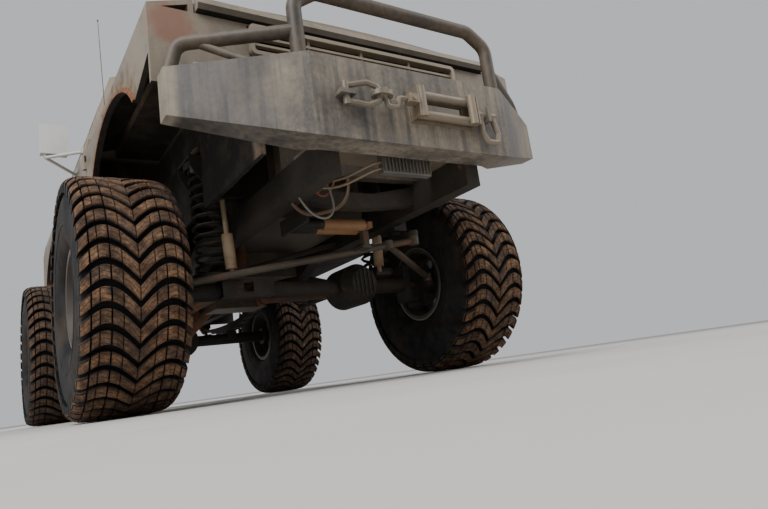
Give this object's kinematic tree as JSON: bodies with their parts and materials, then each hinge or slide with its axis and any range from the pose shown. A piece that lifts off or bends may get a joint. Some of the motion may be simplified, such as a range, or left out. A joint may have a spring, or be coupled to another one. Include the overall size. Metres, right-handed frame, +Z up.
{
  "type": "lifted two-door off-road 4x4",
  "caption": "Lifted off-road vehicle on mud tyres with a winch bumper, brush guard, solid axles and coil springs; wheels, steering, doors, hood and liftgate move.",
  "frame": {"origin": "on the floor under the middle of the vehicle", "axes": "+Z up, nose towards -Y, driver side (left) towards +X"},
  "size_m": [2.15, 4.4026, 2.11],
  "materials": {
    "body_paint": "matt",
    "glass": "gloss",
    "grille_paint": "matt",
    "bumper_paint": "matt",
    "guard_paint": "matt",
    "steel_dusty": "matt",
    "frame_black": "matt",
    "link_steel": "satin",
    "damper_orange": "matt",
    "shock_cream": "satin",
    "cast_alloy": "matt",
    "pipe_steel": "matt",
    "tank_plastic": "matt",
    "rim_alloy": "satin",
    "tyre_rubber": "matt",
    "seat_cloth": "matt",
    "trim_black": "matt",
    "mirror_white": "gloss",
    "lamp_clear": "gloss",
    "lamp_red": "gloss"
  },
  "bodies": {
    "chassis": {"body_tub": "body_paint", "brush_guard": "guard_paint", "coil_springs": "frame_black", "damper_rods": "link_steel", "dashboard": "trim_black", "driveshafts": "pipe_steel", "engine": "cast_alloy", "exhaust": "pipe_steel", "fairlead": "steel_dusty", "fixed_glass": "glass", "frame": "frame_black", "front_axle": "frame_black", "front_bumper": "bumper_paint", "front_clip": "body_paint", "front_links": "frame_black", "fuel_tank": "tank_plastic", "gearbox": "cast_alloy", "grille": "grille_paint", "headlamps": "lamp_clear", "leaf_springs": "frame_black", "oil_cooler": "cast_alloy", "radiator": "cast_alloy", "rear_axle": "frame_black", "rear_bumper": "frame_black", "recovery_gear": "steel_dusty", "roof": "body_paint", "seats": "seat_cloth", "shocks": "shock_cream", "side_steps": "frame_black", "steering_box": "frame_black", "tail_lamps": "lamp_red", "winch": "steel_dusty", "winch_hook": "steel_dusty"},
    "knuckle_left_body": {"knuckle_left": "frame_black"},
    "knuckle_right_body": {"knuckle_right": "frame_black"},
    "steering_link": {"steering_links": "link_steel"},
    "pitman": {"pitman_arm": "frame_black"},
    "dampers": {"damper_bodies": "damper_orange"},
    "wheel_front_left_body": {"wheel_front_left": "rim_alloy", "tyre_front_left": "tyre_rubber"},
    "wheel_front_right_body": {"wheel_front_right": "rim_alloy", "tyre_front_right": "tyre_rubber"},
    "wheel_rear_left_body": {"wheel_rear_left": "rim_alloy", "tyre_rear_left": "tyre_rubber"},
    "wheel_rear_right_body": {"wheel_rear_right": "rim_alloy", "tyre_rear_right": "tyre_rubber"},
    "door_left_body": {"door_left": "body_paint", "door_glass_left": "glass", "mirror_left": "mirror_white"},
    "door_right_body": {"door_right": "body_paint", "door_glass_right": "glass", "mirror_right": "mirror_white"},
    "hood_body": {"hood": "body_paint"},
    "liftgate_body": {"liftgate": "body_paint", "liftgate_glass": "glass"},
    "steering_wheel_body": {"steering_wheel": "trim_black"}
  },
  "joints": [
    {"name": "steer_right", "type": "hinge", "parent": "chassis", "child": "knuckle_right_body", "pos_m": [-0.68, -1.01635, 0.5], "axis": [0, 0, 1], "range_deg": [-26, 26]},
    {"name": "steer_left", "type": "hinge", "parent": "chassis", "child": "knuckle_left_body", "pos_m": [0.68, -1.01635, 0.5], "axis": [0, 0, 1], "range_deg": [-26, 26]},
    {"name": "link_pivot", "type": "hinge", "parent": "knuckle_right_body", "child": "steering_link", "pos_m": [-0.68, -1.16635, 0.5], "axis": [0, 0, 1], "range_deg": [-26, 26]},
    {"name": "pitman_turn", "type": "hinge", "parent": "chassis", "child": "pitman", "pos_m": [0.4, -1.30635, 0.66], "axis": [0, 0, 1], "range_deg": [-26, 26]},
    {"name": "damper_slide", "type": "slide", "parent": "chassis", "child": "dampers", "axis": [1, 0, 0], "range_m": [-0.0684, 0.0684]},
    {"name": "steering_wheel_turn", "type": "hinge", "parent": "chassis", "child": "steering_wheel_body", "pos_m": [0.38, 0.02365, 1.33], "axis": [0, 0.9063, 0.4226], "range_deg": [-420, 420]},
    {"name": "wheel_front_right_spin", "type": "hinge", "parent": "knuckle_right_body", "child": "wheel_front_right_body", "pos_m": [-0.88, -1.01635, 0.5], "axis": [1, 0, 0], "continuous": true},
    {"name": "wheel_rear_right_spin", "type": "hinge", "parent": "chassis", "child": "wheel_rear_right_body", "pos_m": [-0.88, 1.32365, 0.5], "axis": [1, 0, 0], "continuous": true},
    {"name": "wheel_front_left_spin", "type": "hinge", "parent": "knuckle_left_body", "child": "wheel_front_left_body", "pos_m": [0.88, -1.01635, 0.5], "axis": [1, 0, 0], "continuous": true},
    {"name": "wheel_rear_left_spin", "type": "hinge", "parent": "chassis", "child": "wheel_rear_left_body", "pos_m": [0.88, 1.32365, 0.5], "axis": [1, 0, 0], "continuous": true},
    {"name": "door_left_hinge", "type": "hinge", "parent": "chassis", "child": "door_left_body", "pos_m": [0.88, -0.37535, 1.2], "axis": [0, 0, -1], "range_deg": [0, 65]},
    {"name": "door_right_hinge", "type": "hinge", "parent": "chassis", "child": "door_right_body", "pos_m": [-0.88, -0.37535, 1.2], "axis": [0, 0, 1], "range_deg": [0, 65]},
    {"name": "hood_hinge", "type": "hinge", "parent": "chassis", "child": "hood_body", "pos_m": [0, -0.40835, 1.466], "axis": [-1, 0, 0], "range_deg": [0, 60]},
    {"name": "liftgate_hinge", "type": "hinge", "parent": "chassis", "child": "liftgate_body", "pos_m": [0, 1.97065, 2.046], "axis": [1, 0, 0], "range_deg": [0, 80]}
  ],
  "couplings": [
    {"joint": "steer_left", "follows": "steer_right", "ratio": 1},
    {"joint": "link_pivot", "follows": "steer_right", "ratio": -1},
    {"joint": "pitman_turn", "follows": "steer_right", "ratio": 1},
    {"joint": "damper_slide", "follows": "steer_right", "m_per_rad": 0.15},
    {"joint": "steering_wheel_turn", "follows": "steer_right", "ratio": 16}
  ]
}
